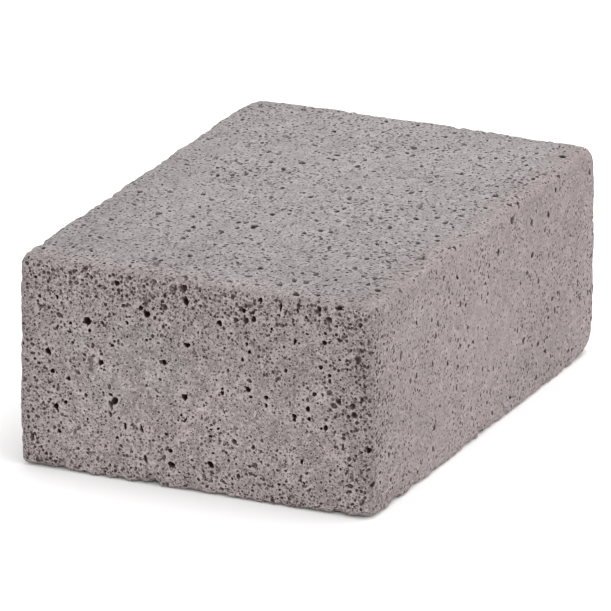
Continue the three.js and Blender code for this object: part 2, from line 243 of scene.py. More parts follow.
CORNER_WEAR = [
    ((-1, -1, 1), 1.7), ((1, -1, 1), 1.6), ((-1, -1, -1), 1.5), ((1, -1, -1), 2.6),
    ((-1, 1, 1), 3.2), ((1, 1, 1), 2.3), ((-1, 1, -1), 2.6), ((1, 1, -1), 3.6),
]


def wear(p):
    r = 0.95 + 0.3 * noise(p, 11.0, 3) + 0.2 * noise(p, 4.0, 5)
    for sign, radius in CORNER_WEAR:
        away = np.linalg.norm(p - np.array(sign) * HALF, axis=1)
        w = np.exp(-((away / 3.8) ** 2))
        r = r + w * (radius - r)
    return np.clip(r, 0.6, 4.0)[:, None]


def on_stone(p):
    """Places and outward directions on the worn block for places p on the sharp box."""
    r = wear(p)
    q = np.clip(p, r - HALF, HALF - r)
    d = p - q
    n = d / np.linalg.norm(d, axis=1, keepdims=True)
    return q + r * n, n


def on_box(x):
    """The other way: places on the sharp box for places near the worn block's surface."""
    r = wear(x)
    q = np.clip(x, r - HALF, HALF - r)
    d = x - q
    m = np.maximum(np.abs(d).max(axis=1, keepdims=True), 1e-9)
    p = q + d * (r / m)
    side = np.argmax(np.abs(p) / HALF, axis=1)
    rows = np.arange(len(p))
    p[rows, side] = np.sign(p[rows, side]) * HALF[side]
    return p, side


# Six faces: (axis, sign, across, up), with across x up pointing out of the stone.
FACES = []
for axis in range(3):
    for sign in (-1, 1):
        across, up = ((axis + 1) % 3, (axis + 2) % 3)
        FACES.append((axis, sign) + ((across, up) if sign > 0 else (up, across)))


def face_of(p, side):
    return side * 2 + (p[np.arange(len(p)), side] > 0)


# ------------------------------------------------------------------- the pores
rng = np.random.default_rng(SEED)
NOM = np.array([35.0, 50.0, 20.0])  # half sizes that the lists above were read against
fit = HALF / NOM


def openness(p, face):
    """How full of pores the stone is at places p on a face, about 0.3 to 1.6."""
    axis, sign = FACES[face][:2]
    patch = noise(p, 8.0, 21) * 0.28 + noise(p, 3.5, 22) * 0.14
    left, right = p[:, 0] + HALF[0], HALF[0] - p[:, 0]
    near, far = p[:, 1] + HALF[1], HALF[1] - p[:, 1]
    down = HALF[2] - p[:, 2]
    rise = p[:, 2] + HALF[2]
    if axis == 1:
        edge = np.maximum.reduce([
            0.95 * np.exp(-left / 8.0), 0.85 * np.exp(-right / 8.0),
            1.25 * np.exp(-down / 7.5), 0.85 * np.exp(-rise / 6.0),
        ])
        return np.clip(0.42 + 0.95 * edge + patch, 0.12, 1.7)
    if axis == 2:
        return np.clip(0.85 + 0.25 * np.exp(-near / 22.0) + 0.1 * np.exp(-far / 10.0) + patch, 0.3, 1.5)
    pale = 0.42 * np.exp(-(((near - 53.0) / 8.0) ** 2) - ((down - 21.0) / 9.0) ** 2)
    return np.clip(0.78 + 0.85 * np.exp(-near / 7.0) + 0.12 * np.exp(-far / 9.0) - pale + patch, 0.2, 1.6)


# half widths (mm) and how many a square centimetre, largest first
END_SIZES = [(.62, .8, .55), (.5, .62, 1.4), (.4, .5, 3.0), (.32, .4, 5.5), (.26, .32, 8.6), (.19, .26, 17.5)]
FLAT_SIZES = [(.54, .68, .3), (.44, .54, 1.8), (.36, .44, 4.8), (.3, .36, 8.5), (.25, .3, 10.5), (.2, .25, 7.5)]
SIDE_SIZES = [(.5, .62, .3), (.42, .5, 1.6), (.35, .42, 4.0), (.29, .35, 5.5), (.24, .29, 6.5), (.2, .24, 7.0)]

pores = []  # place, half width, half height, turn, depth share, darkness of the painted shade inside
grid = {}
CELL = 1.6


def cell_of(c):
    return (int(math.floor(c[0] / CELL)), int(math.floor(c[1] / CELL)), int(math.floor(c[2] / CELL)))


def crowded(c, r, slack):
    i, j, k = cell_of(c)
    for a in (i - 1, i, i + 1):
        for b in (j - 1, j, j + 1):
            for d in (k - 1, k, k + 1):
                for x, y, z, s in grid.get((a, b, d), ()):
                    gap = slack * (r + s) + 0.03
                    if (c[0] - x) ** 2 + (c[1] - y) ** 2 + (c[2] - z) ** 2 < gap * gap:
                        return True
    return False


def keep(c, face, ra, rb, turn, share, painted_dark):
    grid.setdefault(cell_of(c), []).append((c[0], c[1], c[2], math.sqrt(ra * rb)))
    pores.append((c[0], c[1], c[2], face, ra, rb, math.radians(turn), share, painted_dark))


def by_hand(rows, face, place, swell, drawn_out=0.0, askew=0.0):
    for row in rows:
        x, y, ra, kind = row[:4]
        rb, turn = (row[4], row[5]) if len(row) > 4 else (ra * rng.uniform(.88, 1.12), rng.uniform(0, 180))
        if drawn_out and len(row) == 4:  # all drawn out one way
            rb, turn = ra * drawn_out * rng.uniform(.8, 1.2), askew + rng.uniform(-20, 20)
        share, painted_dark = KINDS[kind]
        keep(np.array(place(x, y)) * fit, face, ra * swell, rb * swell, turn, share, painted_dark)


by_hand(FRONT_PORES, 2, lambda x, y: (x - 35.0, -50.0, 20.0 - y), 1.19)
by_hand(TOP_PORES, 5, lambda x, y: (x - 35.0, 50.0 - y, 20.0), 1.2, 1.45, 25.0)
by_hand(RIGHT_PORES, 1, lambda x, y: (35.0, x - 50.0, 20.0 - y), 1.38, 0.74, 107.0)

for face, (axis, sign, across, up) in enumerate(FACES):
    sizes = {0: SIDE_SIZES, 1: END_SIZES, 2: FLAT_SIZES}[axis]
    area = 4.0 * HALF[across] * HALF[up] / 100.0
    seen = face in (1, 2, 5)
    for lo, hi, per in sizes:
        thin = 1.0
        if seen and lo >= .5:
            thin = 0.0  # the largest there are all listed
        elif seen and lo >= .29:
            thin = 0.22 if face == 2 else 0.6  # and most of the middling ones
        elif seen and lo > .2 and face != 2:
            thin = 0.8
        if not seen and axis != 1:
            thin = 0.5 if face == 4 else 0.75
        want = int(round(area * per * thin))
        tries = rng.uniform(-1, 1, (want * 9, 2)) * HALF[[across, up]]
        place = np.zeros((len(tries), 3))
        place[:, axis] = sign * HALF[axis]
        place[:, across], place[:, up] = tries[:, 0], tries[:, 1]
        chance = openness(place, face) / 1.5
        roll = rng.random((len(tries), 7))
        made = 0
        for c, p_ok, u in zip(place, chance, roll):
            if made >= want:
                break
            if u[0] > p_ok:
                continue
            r = lo + (hi - lo) * u[1] ** 1.4
            if crowded(c, r * 1.05, 0.72 if u[2] < 0.12 else 1.0):
                continue
            stretch, turn = 1.0 + 0.55 * u[3] ** 2.2, 180 * u[6]
            if axis == 2:  # drawn out one way, askew to the block
                stretch, turn = 1.1 + 0.8 * u[3], (115 if sign > 0 else -25) + 50 * (u[6] - 0.5)
            if axis == 0:  # drawn out, a little off upright
                stretch, turn = 1.1 + 0.55 * u[3], (107 if sign > 0 else -17) + 40 * (u[6] - 0.5)
            # how dark the painted shade inside each pore is
            if axis == 1:
                painted_dark = (0.3 + 0.7 * u[5] ** 1.4) if u[4] < 0.7 else (0.15 + 0.3 * u[5])
            elif axis == 0 and lo >= .29:
                painted_dark = (0.5 + 0.5 * u[5]) if u[4] < 0.4 else (0.15 + 0.35 * u[5])
            else:
                painted_dark = (0.55 + 0.45 * u[5]) if u[4] < 0.75 else (0.2 + 0.3 * u[5])
            if not seen and lo >= .4 and u[4] < 0.28:
                painted_dark = 0.95 + 0.05 * u[5]
            share = 0.5 + 0.65 * painted_dark
            keep(c, face, r * math.sqrt(stretch), r / math.sqrt(stretch), turn, share, painted_dark)
            made += 1

pores = np.array(pores)
pore_box = pores[:, :3]
pore_face = pores[:, 3].astype(int)
pore_a, pore_b, pore_turn, pore_share, pore_painted_shade = pores[:, 4:].T
pore_size = np.sqrt(pore_a * pore_b)
pore_at, pore_out = on_stone(pore_box)
reach_1 = np.zeros((len(pores), 3))
for face, (axis, sign, across, up) in enumerate(FACES):
    reach_1[pore_face == face, across] = 1.0
# on the front, top and right faces "across" follows the way the lists were read
for face, vec in ((2, (1.0, 0, 0)), (5, (1.0, 0, 0)), (1, (0, 1.0, 0))):
    reach_1[pore_face == face] = vec
reach_1 -= (reach_1 * pore_out).sum(1)[:, None] * pore_out
reach_1 /= np.linalg.norm(reach_1, axis=1, keepdims=True)
reach_2 = np.cross(pore_out, reach_1)
cs, sn = np.cos(pore_turn)[:, None], np.sin(pore_turn)[:, None]
dir_1, dir_2 = cs * reach_1 + sn * reach_2, -sn * reach_1 + cs * reach_2
ragged = rng.uniform(0, 1, (len(pores), 3)) * np.array([.17, .14, .07]) * np.clip(pore_size / .35, .6, 1.2)[:, None]
swing = rng.uniform(0, 2 * math.pi, (len(pores), 3))
core_way, core_off = rng.uniform(0, 2 * math.pi, len(pores)), rng.uniform(0.12, 0.42, len(pores))


def outline(k, t):
    """A pore's lumpy outline: 1 on average, for pore numbers k at angles t."""
    return (1.0 + ragged[k, 0] * np.cos(2 * t + swing[k, 0]) + ragged[k, 1] * np.cos(3 * t + swing[k, 1])
            + ragged[k, 2] * np.cos(5 * t + swing[k, 2]))


# ------------------------------------------------- points of the mesh, face by face
points = [[] for _ in range(6)]  # lists of places on the sharp box
cells = [dict() for _ in range(6)]
FINE = 0.25


def add(p, faces, apart, border):
    """Takes the places p that keep apart from those there and clear of the face's own border."""
    for (x, y, z), f in zip(p.tolist(), faces.tolist()):
        axis, sign, across, up = FACES[f]
        c = (x, y, z)
        u, v = c[across], c[up]
        if HALF[across] - abs(u) < border or HALF[up] - abs(v) < border:
            continue
        i, j = int(math.floor(u / FINE)), int(math.floor(v / FINE))
        table = cells[f]
        n = 1 if apart <= FINE else 2
        clear = True
        for a in range(i - n, i + n + 1):
            for b in range(j - n, j + n + 1):
                for s, t in table.get((a, b), ()):
                    if (s - u) ** 2 + (t - v) ** 2 < apart * apart:
                        clear = False
                        break
                if not clear:
                    break
            if not clear:
                break
        if clear:
            table.setdefault((i, j), []).append((u, v))
            points[f].append(c)


# rings of points that draw each pore: (smallest half width, [(points, share of the width), ...])
RINGS = [
    (.52, [(15, 1.0), (11, .84), (6, .5), (1, 0.0)]),
    (.38, [(11, 1.0), (8, .78), (3, .34)]),
    (.27, [(8, 1.0), (4, .56)]),
    (.0, [(6, 1.0), (1, 0.0)]),
]
order = np.argsort(-pore_size, kind="stable")
upper = 9.0
for least, rings in RINGS:
    chosen = order[(pore_size[order] >= least) & (pore_size[order] < upper)]
    upper = least
    start = rng.uniform(0, 2 * math.pi, len(chosen))
    for n, (count, share) in enumerate(rings):
        t = start[:, None] + (np.arange(count) + 0.5 * (n % 2)) * (2 * math.pi / count)
        k = np.repeat(chosen, count)
        t = t.ravel()
        w = share * outline(k, t)
        x = (pore_at[k] + (w * pore_a[k] * np.cos(t))[:, None] * dir_1[k]
             + (w * pore_b[k] * np.sin(t))[:, None] * dir_2[k])
        p, side = on_box(x)
        add(p, face_of(p, side), 0.085, 0.12)

# the ground between the pores: an uneven scatter, closer near the edges
for face, (axis, sign, across, up) in enumerate(FACES):
    for step, margin_lo, margin_hi in ((0.58, 0.0, 2.0), (1.8, 2.0, 99.0)):
        us = np.arange(-HALF[across] + step / 2, HALF[across], step)
        vs = np.arange(-HALF[up] + step / 2, HALF[up], step)
        g = np.stack(np.meshgrid(us, vs, indexing="ij"), -1).reshape(-1, 2)
        g = g + rng.uniform(-.32, .32, g.shape) * step
        depth_in = np.minimum(HALF[across] - np.abs(g[:, 0]), HALF[up] - np.abs(g[:, 1]))
        g = g[(depth_in > margin_lo) & (depth_in <= margin_hi)]
        p = np.zeros((len(g), 3))
        p[:, axis] = sign * HALF[axis]
        p[:, across], p[:, up] = g[:, 0], g[:, 1]
        add(p, np.full(len(p), face), 0.34, 0.2)

# points along the sharp box's twelve edges, shared by the faces that meet there
edge_index = {}
all_box = []


def edge_point(c):
    key = tuple(int(round(v * 1e4)) for v in c)
    if key not in edge_index:
        edge_index[key] = len(all_box)
        all_box.append(c)
    return edge_index[key]


on_face = [[] for _ in range(6)]
for axis in range(3):
    count = int(round(2 * HALF[axis] / 0.5))
    line = np.linspace(-HALF[axis], HALF[axis], count + 1)
    o1, o2 = (axis + 1) % 3, (axis + 2) % 3
    for s1 in (-1, 1):
        for s2 in (-1, 1):
            for v in line:
                c = [0.0, 0.0, 0.0]
                c[axis], c[o1], c[o2] = float(v), s1 * HALF[o1], s2 * HALF[o2]
                index = edge_point(tuple(c))
                for other, s in ((o1, s1), (o2, s2)):
                    on_face[other * 2 + (s > 0)].append(index)
for f in range(6):
    axis, sign = FACES[f][:2]
    own = {i for i in on_face[f]}
    own |= {i for i in range(len(edge_index)) if all_box[i][axis] == sign * HALF[axis]}
    on_face[f] = sorted(own)
edge_count = len(all_box)
for f in range(6):
    first = len(all_box)
    all_box.extend(points[f])
    on_face[f] += list(range(first, first + len(points[f])))
box_at = np.array(all_box)

triangles, tri_face = [], []
for f, (axis, sign, across, up) in enumerate(FACES):
    index = np.array(on_face[f])
    flat = box_at[index][:, [across, up]]
    out = delaunay_2d_cdt([Vector((u, v)) for u, v in flat.tolist()], [], [], 0, 1e-7)
    back = [index[o[0]] for o in out[3]]
    tri = np.array([[back[i] for i in t] for t in out[2]])
    a, b, c = (box_at[tri[:, i]][:, [across, up]] for i in range(3))
    twice = (b[:, 0] - a[:, 0]) * (c[:, 1] - a[:, 1]) - (b[:, 1] - a[:, 1]) * (c[:, 0] - a[:, 0])
    tri[twice < 0] = tri[twice < 0][:, [0, 2, 1]]
    tri = tri[np.abs(twice) > 1e-9]
    triangles.append(tri)
    tri_face.append(np.full(len(tri), f))
triangles = np.concatenate(triangles)
tri_face = np.concatenate(tri_face)

# ---------------------------------------------------------- relief of the surface
at, out = on_stone(box_at)
at_edge = np.clip((1.0 - np.abs(out).max(axis=1)) / 0.29, 0, 1)  # 0 on a face, 1 on an edge

ground = 0.07 * noise(at, 16.0, 31) + 0.06 * noise(at, 5.0, 32) + 0.07 * noise(at, 1.9, 33) + 0.04 * noise(at, 0.8, 34)
worn = 0.1 * noise(at, 6.0, 35) + 0.13 * noise(at, 2.6, 36) + 0.15 * noise(at, 1.2, 37)
worn *= 1.0 - 0.55 * smooth(0.4, 0.1, np.abs(out[:, 2]))  # less on the upright edges
lift = np.minimum(ground + at_edge ** 0.6 * worn, 0.14)

# the lower edges are broken away all round, some places more than others: the breaks that
# show along the front and right sides are listed (along the edge, half width, depth)
BREAKS = {
    (1, -1): [(5.9, .8, .1), (7.8, 1.4, .62), (13.0, .9, .2), (16.2, 1.0, .42), (20.2, .7, .36), (23.6, 1.1, .58),
              (26.4, 1.6, .85), (34.0, 1.0, .3), (40.2, 1.5, .42), (49.0, .9, .3), (51.6, 1.5, .4), (56.5, 1.1, .3),
              (63.1, 1.7, .8)],
    (0, 1): [(6.0, 1.4, .15), (11.5, 1.7, .6), (19.4, 1.6, .36), (29.0, 1.2, .16), (34.0, 1.0, .12), (42.6, 2.0, .3),
             (48.6, 1.5, 1.1), (51.6, 1.8, .45), (65.2, 1.5, .14), (71.0, 1.3, .16), (78.4, 1.6, .2), (85.0, 1.2, .2),
             (87.6, 1.6, .4), (93.0, 1.5, .2)],
}
at_low = np.zeros((len(at), 3))
rise = at[:, 2] + HALF[2]
for axis, along in ((0, 1), (1, 0)):
    for sign in (-1, 1):
        rows = BREAKS.get((axis, sign))
        if rows is None:
            count = int(2 * HALF[along] / 5.5)
            rows = list(zip(rng.uniform(0, 2 * HALF[along], count), rng.uniform(.8, 1.9, count), rng.uniform(.1, .8, count) ** 1.4))
        run = at[:, along] + HALF[along]
        deep = np.clip(0.12 + 0.14 * noise(at * (1, 1, 0), 3.6, 38) + 0.2 * noise(at * (1, 1, 0), 1.3, 39), 0.0, 0.5)
        for where, wide, much in rows:
            t = np.clip(np.abs(run - where * fit[along]) / wide, 0, 1)
            deep = np.maximum(deep, 0.6 * deep + much * (1 - t ** 2.5))
        inset_here = np.maximum(HALF[axis] - sign * at[:, axis], 0.0)
        weight = smooth(3.0, 0.5, rise) * smooth(4.5, 1.0, inset_here)
        push = weight * deep
        at_low[:, axis] -= sign * 0.9 * push
        at_low[:, 2] += 0.42 * push * smooth(2.6, 0.9, np.hypot(inset_here, rise))

# chips out of the edges: one beside the front left edge that shows, then a scatter
NICKS = [(-35.0, -50.0, 15.8, 1.1, .62), (-35.0, -50.0, 2.0, 1.0, .16), (-35.0, -42.0, 20.0, 1.3, .34)]
chips = [(np.array(row[:3]) * fit, row[3], row[4]) for row in NICKS]
for axis in range(3):
    o1, o2 = (axis + 1) % 3, (axis + 2) % 3
    for s1 in (-1, 1):
        for s2 in (-1, 1):
            low = (o1 == 2 and s1 < 0) or (o2 == 2 and s2 < 0)
            for _ in range(int(2 * HALF[axis] / (7.0 if low else 4.5))):
                c = np.zeros(3)
                c[axis] = rng.uniform(-1, 1) * HALF[axis]
                c[o1], c[o2] = s1 * HALF[o1], s2 * HALF[o2]
                size = 0.6 + 1.0 * rng.random() ** 2
                chips.append((c, size, size * rng.uniform(.07, .17) * (1 if axis == 2 else 2)))
chip_at, _ = on_stone(np.array([c for c, _, _ in chips]))

tree = kdtree.KDTree(len(at))
for i, co in enumerate(at.tolist()):
    tree.insert(co, i)
tree.balance()

for c, (_, size, deep) in zip(chip_at, chips):
    near = tree.find_range(c.tolist(), size)
    if near:
        i = np.array([n[1] for n in near])
        t = np.array([n[2] for n in near]) / size
        lift[i] -= deep * (1 - t * t) ** 2

depth = np.zeros(len(at))
inner = np.zeros(len(at))  # 0 outside a pore, 1 well inside it
shade = np.zeros(len(at))  # the painted shade inside the pore there
# pale rims round the pores: the stone's pale lips, with a painted highlight on them
rim = np.zeros(len(at))
for k in range(len(pores)):
    near = tree.find_range(pore_at[k].tolist(), max(pore_a[k], pore_b[k]) * 1.6)
    if not near:
        continue
    i = np.array([n[1] for n in near])
    d = at[i] - pore_at[k]
    h = np.abs(d @ pore_out[k])
    x, y = (d @ dir_1[k]) / pore_a[k], (d @ dir_2[k]) / pore_b[k]
    t = np.arctan2(y, x)
    rho = np.hypot(x, y) / outline(k, t)
    rho = np.where(h > 1.3 * pore_size[k] + 0.3, 9.0, rho)
    inside = np.clip(1 - np.minimum(rho, 1.0) ** 3.2, 0, 1) ** 0.8
    deep = min(pore_share[k] * pore_size[k], 0.85)
    depth[i] = np.maximum(depth[i], deep * inside)
    # the painted shade inside the pore: its level at the rim, deepening to a core set off the middle
    painted_dark = pore_painted_shade[k]
    crisp = painted_dark * (0.58 + 0.3 * max(0.0, painted_dark - 0.93) / 0.07 if pore_face[k] not in (1, 5) else 0.8)
    off_x, off_y = core_off[k] * math.cos(core_way[k]), core_off[k] * math.sin(core_way[k])
    core = smooth(1.25, 0.3, np.hypot(x - off_x, y - off_y))
    mask = smooth(1.02, 0.72, rho)
    own = (mask > inner[i]) | ((rho < 1.15) & (inner[i] <= 0.0))
    shade[i] = np.where(own, crisp + (painted_dark - crisp) * core, shade[i])
    inner[i] = np.maximum(inner[i], mask)
    rim[i] = np.maximum(rim[i], smooth(1.45, 1.02, rho) * min(1.0, painted_dark + 0.2))

place = at + out * (lift - depth)[:, None] + at_low
place[:, 2] = np.maximum(place[:, 2], -HALF[2])  # it rests flat on its underside

# cool grey over the broad faces, a painted tint standing for the light on the top, and warmer towards two
# of their edges, a painted tint of the light from the sides; warmer too on the sides, where faint cool
# patches are the stone's own tone; on the two ends a few faint greenish patches
GREEN_PATCHES = [(11.5, 14.5, 3.2), (23.5, 14.0, 5.5), (17.5, 22.0, 4.8), (29.0, 18.0, 4.0)]
cool_tone_and_light_tint = np.zeros(len(at))
green = np.zeros(len(at))
inset = HALF - np.abs(at)
for face, (axis, sign, across, up) in enumerate(FACES):
    flat = np.clip(out[:, axis] * sign, 0, 1) ** 2
    wander = 0.5 + 0.5 * noise(at, 9.0, 41)
    if axis == 2:
        margin = np.minimum(at[:, 1] + HALF[1], HALF[0] - at[:, 0]) + 1.6 * (wander - 0.5)
        # painted light tint: cool away from the front and right edges, warmer near them
        local = 1.0 - 0.95 * np.exp(-((np.maximum(margin, 0.0) / 4.4) ** 2.4))
    elif axis == 1:
        local = np.zeros(len(at))
        for x, y, size in GREEN_PATCHES:
            away = np.hypot((at[:, 0] + HALF[0] - x) / size, (HALF[2] - at[:, 2] - y) / size)
            green = np.maximum(green, 0.75 * flat * smooth(1.35, 0.4, away + 0.8 * (wander - 0.5)))
    else:
        local = 0.2 * smooth(0.6, 0.9, wander)
    cool_tone_and_light_tint = np.maximum(cool_tone_and_light_tint, flat * local)

# how open the fine texture between the pores is, and how strongly it shows
open_ = np.zeros(len(at))
vivid = np.zeros(len(at))
speckle = np.zeros(len(at))
dimple = np.zeros(len(at))
for face, (axis, sign, across, up) in enumerate(FACES):
    flat = np.clip(out[:, axis] * sign, 0, 1) ** 2
    open_ = np.maximum(open_, flat * openness(at, face))
    extra = 0.16 * np.exp(-inset[:, 1] / 8.0) if axis == 0 else 0.0
    vivid = np.maximum(vivid, flat * ((0.86, 1.0, 0.86)[axis] + extra))
    speckle = np.maximum(speckle, flat * ((0.34, 1.0, 0.36)[axis] + extra))
    dimple = np.maximum(dimple, flat * (2.1, 1.0, 1.5)[axis])

# broad washes of tone over each face, with painted light in them: painted highlights along the rounded edges of the top
# by the front and right faces, and painted light along the foot against the shade there
def band(x, middle, width):
    return np.exp(-(((x - middle) / width) ** 2))


tone_and_painted_light = np.ones(len(at))
near_end, from_top, from_floor = at[:, 1] + HALF[1], HALF[2] - at[:, 2], at[:, 2] + HALF[2]
from_left, from_right = at[:, 0] + HALF[0], HALF[0] - at[:, 0]
for face, (axis, sign, across, up) in enumerate(FACES):
    flat = np.clip(out[:, axis] * sign, 0, 1) ** 2
    if axis == 1:
        # the ends: darker overall and towards their top and side edges; the lift towards the foot is painted light
        # against the shade there
        local = -0.2 - 0.07 * np.exp(-from_top / 9.0) + 0.04 * np.exp(-from_floor / 8.0) - 0.03 * np.exp(-inset[:, 0] / 6.0)
        local = local + 0.065 * band(from_left, 14.0, 8.0) - 0.035 * np.exp(-from_right / 10.0) + 0.075 * band(from_left, 39.0, 14.0) * band(from_top, 23.0, 9.0)
        # a painted highlight along the rounded upper edge, and more painted light along the foot
        local = local + 0.14 * band(from_top, 0.0, 2.5) - 0.05 * band(from_top, 12.0, 3.0) + 0.23 * band(from_floor, 0.0, 1.8)
    elif axis == 2:
        # the broad faces: the band by the front edge is a painted highlight
        local = 0.081 - 0.11 * np.exp(-near_end / 28.0) + 0.075 * band(near_end, 3.0, 3.0) - 0.035 * band(near_end, 13.0, 4.0)
        local = local - 0.075 * band(from_left, 5.0, 4.2) + 0.02 * band(from_left, 37.0, 10.0)
        # the band right at the right edge is a painted highlight
        local = local - 0.06 * band(from_right, 4.6, 2.4) + 0.14 * band(from_right, 0.0, 1.4)
    else:
        # the sides: the lift towards the foot is painted light against the shade there
        local = 0.044 + 0.06 * band(near_end, 46.0, 18.0) + 0.03 * np.exp(-from_floor / 6.0) - 0.1 * np.exp(-near_end / 9.0)
        local = local - 0.05 * np.exp(-from_top / 7.0) - 0.03 * band(from_floor, 10.0, 4.0) + 0.12 * band(from_floor, 0.0, 2.0)
    tone_and_painted_light += flat * local

# ----------------------------------------------------------------- the mesh piece
verts = (place + MIDDLE) / 1000.0
mesh = bpy.data.meshes.new("pumice_block")
mesh.from_pydata(verts.tolist(), [], triangles.tolist())
mesh.update()
for name, values in (("pore", inner), ("shade", shade), ("rim", rim), ("vivid", vivid), ("speckle", speckle), ("dimple", dimple), ("cool_tone_and_light_tint", cool_tone_and_light_tint), ("green", green), ("tone_and_painted_light", tone_and_painted_light), ("openness", np.clip(open_ / 1.6, 0, 1))):
    mesh.attributes.new(name, "FLOAT", "POINT").data.foreach_set("value", values.astype(np.float32))

# six charts side by side on one sheet, none over another
SHEET = 185.0
CHART = {5: (1.0, 1.0, False), 4: (72.5, 1.0, False), 1: (144.0, 1.0, True), 2: (144.0, 102.5, True),
         0: (1.0, 102.5, False), 3: (1.0, 144.0, False)}
uv = mesh.uv_layers.new(name="OFBake")
corner = triangles.reshape(-1)
corner_face = np.repeat(tri_face, 3)
sheet = np.zeros((len(corner), 2))
for f, (axis, sign, across, up) in enumerate(FACES):
    pick = corner_face == f
    p = box_at[corner[pick]] / HALF * NOM
    long_, short = (1, 0) if axis == 2 else ((1, 2) if axis == 0 else (0, 2))
    u, v = p[:, long_] + NOM[long_], p[:, short] + NOM[short]
    x0, y0, tall = CHART[f]
    if axis == 2:
        u, v = v, u
    elif tall:
        u, v = v, u
    sheet[pick, 0], sheet[pick, 1] = (x0 + u) / SHEET, (y0 + v) / SHEET
uv.data.foreach_set("uv", sheet.astype(np.float32).ravel())

mesh.shade_smooth()
mesh.set_sharp_from_angle(angle=math.radians(52))
stone = bpy.data.objects.new("pumice_block", mesh)
bpy.context.scene.collection.objects.link(stone)

# -------------------------------------------------------------------- the material
mat = bpy.data.materials.new("pumice")
mat.use_nodes = True
nt = mat.node_tree
nt.nodes.clear()


def node(kind, **props):
    n = nt.nodes.new(kind)
    for key, value in props.items():
        setattr(n, key, value)
    return n


def put(target, value):
    if isinstance(value, bpy.types.NodeSocket):
        nt.links.new(value, target)
    else:
        target.default_value = value


def maths(op, a, b=0.0, c=0.0, clamp=False):
    n = node("ShaderNodeMath", operation=op, use_clamp=clamp)
    for socket, value in zip(n.inputs, (a, b, c)):
        put(socket, value)
    return n.outputs[0]


def ramp(value, lo, hi, out_lo=0.0, out_hi=1.0):
    n = node("ShaderNodeMapRange", interpolation_type="SMOOTHSTEP")
    for key, v in (("Value", value), ("From Min", lo), ("From Max", hi), ("To Min", out_lo), ("To Max", out_hi)):
        put(n.inputs[key], v)
    return n.outputs[0]


def mixed(factor, a, b):
    n = node("ShaderNodeMix", data_type="RGBA")
    put(n.inputs[0], factor)
    put(n.inputs[6], a)
    put(n.inputs[7], b)
    return n.outputs[2]


def scaled(vector, by):
    n = node("ShaderNodeVectorMath", operation="SCALE")
    put(n.inputs[0], vector)
    put(n.inputs["Scale"], by)
    return n.outputs[0]


def field(name):
    return node("ShaderNodeAttribute", attribute_name=name).outputs["Fac"]


def cloud(vector, scale, detail=2.0, rough=0.5):
    n = node("ShaderNodeTexNoise")
    put(n.inputs["Vector"], vector)
    put(n.inputs["Scale"], scale)
    put(n.inputs["Detail"], detail)
    put(n.inputs["Roughness"], rough)
    return n


def bubbles(vector, scale):
    n = node("ShaderNodeTexVoronoi", feature="F1")
    put(n.inputs["Vector"], vector)
    put(n.inputs["Scale"], scale)
    return n


mm = scaled(node("ShaderNodeTexCoord").outputs["Object"], 1000.0)
slow = cloud(mm, 0.075, 2.0).outputs[0]
patchy = cloud(mm, 0.42, 3.0).outputs[0]
grain = cloud(mm, 1.7, 4.0, 0.72).outputs[0]
bend = node("ShaderNodeVectorMath", operation="MULTIPLY_ADD")
put(bend.inputs[0], cloud(mm, 2.4, 2.0).outputs["Color"])
bend.inputs[1].default_value = (0.34, 0.34, 0.34)
put(bend.inputs[2], mm)
bent = bend.outputs[0]

pore_f, shade_f, rim_f = field("pore"), field("shade"), field("rim")
cool_tone_and_light_tint_f, open_f, vivid_f, speckle_f = field("cool_tone_and_light_tint"), field("openness"), field("vivid"), field("speckle")
# painted shade inside the modelled pores: the pore mask times the shade's level
pore_shade_mix = maths("MULTIPLY", ramp(pore_f, 0.05, 0.5), shade_f)

# fine pores, too small to model: three sizes of bubble cut by the surface, wider and
# more of them where the stone is open, each with its own depth of painted shade
loose = maths("MULTIPLY_ADD", open_f, 0.7, maths("MULTIPLY_ADD", patchy, 0.7, 0.05))


def fine_pores(scale, radius, soft, painted_dark_lo, painted_dark_hi):
    cells_ = bubbles(bent, scale)
    chance = node("ShaderNodeSeparateColor")
    put(chance.inputs[0], cells_.outputs["Color"])
    edge = maths("MULTIPLY", maths("MULTIPLY_ADD", chance.outputs[0], 0.75 * radius, 0.45 * radius), loose)
    gap = maths("SUBTRACT", cells_.outputs["Distance"], edge)
    pit = ramp(gap, -soft, soft, 1.0, 0.0)
    bowl = ramp(gap, maths("MULTIPLY", edge, -1.0), 0.04, 1.0, 0.0)
    # a pale lip round each pit: the stone's pale cell wall with a painted highlight on it
    lip = maths("SUBTRACT", ramp(gap, soft, soft + 0.16, 1.0, 0.0), pit, clamp=True)
    # how dark the painted shade in each pit is
    painted_shade_amount = maths("MULTIPLY_ADD", maths("POWER", chance.outputs[1], 1.8), painted_dark_hi - painted_dark_lo, painted_dark_lo)
    painted_shade_amount = maths("MULTIPLY", painted_shade_amount, maths("MULTIPLY_ADD", bowl, 0.75, 0.6))
    return bowl, lip, maths("MULTIPLY", pit, painted_shade_amount, clamp=True), cells_.outputs["Distance"]


bowl_0, lip_0, painted_dark_0, _ = fine_pores(0.8, 0.43, 0.12, 0.0, 0.24)
bowl_1, lip_1, painted_dark_1, _ = fine_pores(1.15, 0.48, 0.06, 0.34, 1.3)
bowl_2, lip_2, painted_dark_2, away_2 = fine_pores(2.0, 0.51, 0.09, 0.28, 1.3)
solid_part = maths("SUBTRACT", 1.0, pore_shade_mix, clamp=True)
painted_dark_0 = maths("MULTIPLY", painted_dark_0, field("dimple"))
painted_dark = maths("MAXIMUM", maths("MULTIPLY", painted_dark_1, vivid_f), maths("MULTIPLY", painted_dark_2, speckle_f))
painted_dark = maths("MULTIPLY", painted_dark, ramp(open_f, 0.12, 0.5, 0.6, 0.9))
painted_dark = maths("MULTIPLY", maths("MAXIMUM", painted_dark_0, painted_dark), solid_part)
lip = maths("MAXIMUM", maths("MAXIMUM", lip_1, maths("MULTIPLY", lip_2, 0.7)), rim_f)

